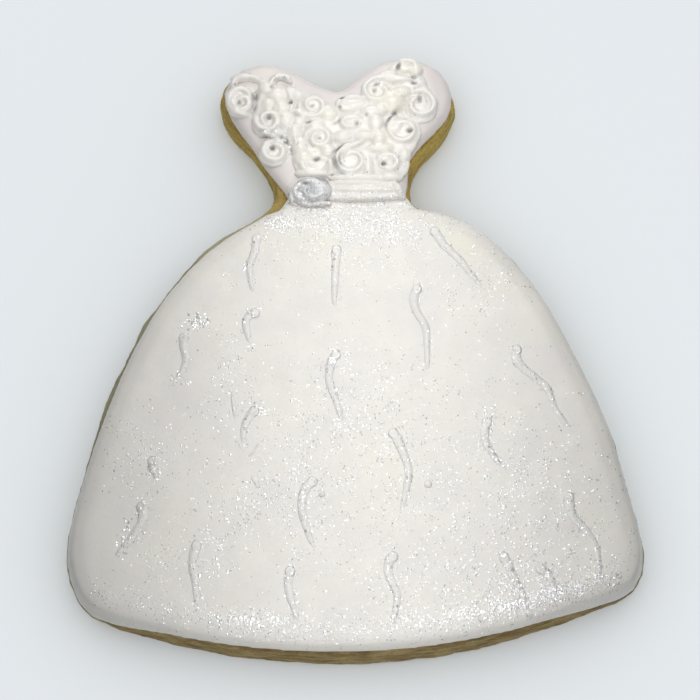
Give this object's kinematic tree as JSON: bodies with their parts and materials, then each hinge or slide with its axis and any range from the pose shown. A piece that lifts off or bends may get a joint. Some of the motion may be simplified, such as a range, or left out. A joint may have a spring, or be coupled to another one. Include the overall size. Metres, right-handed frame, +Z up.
{
  "type": "iced sugar cookie",
  "caption": "Flat ball-gown-shaped sugar cookie with a flooded white icing skirt, piped scrolls on the bodice, a waist band and a silver rosette.",
  "frame": {"origin": "centre of the underside's bounding box, on the surface that the cookie lies on", "axes": "+Z up out of the iced face, +Y from the hem to the bodice, +X to the right when the iced face is seen from above with the bodice away from the viewer"},
  "size_m": [0.0979, 0.1127, 0.011],
  "materials": {
    "baked_biscuit": "matt, crumbly golden-brown baked dough",
    "white_icing": "satin white flood icing with fine glitter",
    "piped_icing": "satin white piped icing",
    "silver_lustre": "icing brushed with silver lustre dust"
  },
  "bodies": {
    "root": {"biscuit": "baked_biscuit", "skirt_icing": "white_icing", "bodice_icing": "white_icing", "waist_band": "white_icing", "rosette": "silver_lustre", "scroll_01": "piped_icing", "scroll_02": "piped_icing", "scroll_03": "piped_icing", "scroll_04": "piped_icing", "scroll_05": "piped_icing", "scroll_06": "piped_icing", "scroll_07": "piped_icing", "scroll_08": "piped_icing", "scroll_09": "piped_icing", "scroll_10": "piped_icing", "scroll_11": "piped_icing", "scroll_12": "piped_icing", "scroll_13": "piped_icing", "scroll_14": "piped_icing", "scroll_15": "piped_icing", "scroll_16": "piped_icing", "scroll_17": "piped_icing", "scroll_18": "piped_icing", "scroll_19": "piped_icing", "curl_01": "piped_icing", "curl_02": "piped_icing", "curl_03": "piped_icing", "curl_04": "piped_icing", "curl_05": "piped_icing", "curl_06": "piped_icing", "curl_07": "piped_icing", "curl_08": "piped_icing", "curl_09": "piped_icing", "curl_10": "piped_icing", "curl_11": "piped_icing", "curl_12": "piped_icing", "curl_13": "piped_icing", "curl_14": "piped_icing", "curl_15": "piped_icing", "curl_16": "piped_icing", "curl_17": "piped_icing", "curl_18": "piped_icing", "curl_19": "piped_icing", "curl_20": "piped_icing"}
  },
  "joints": []
}
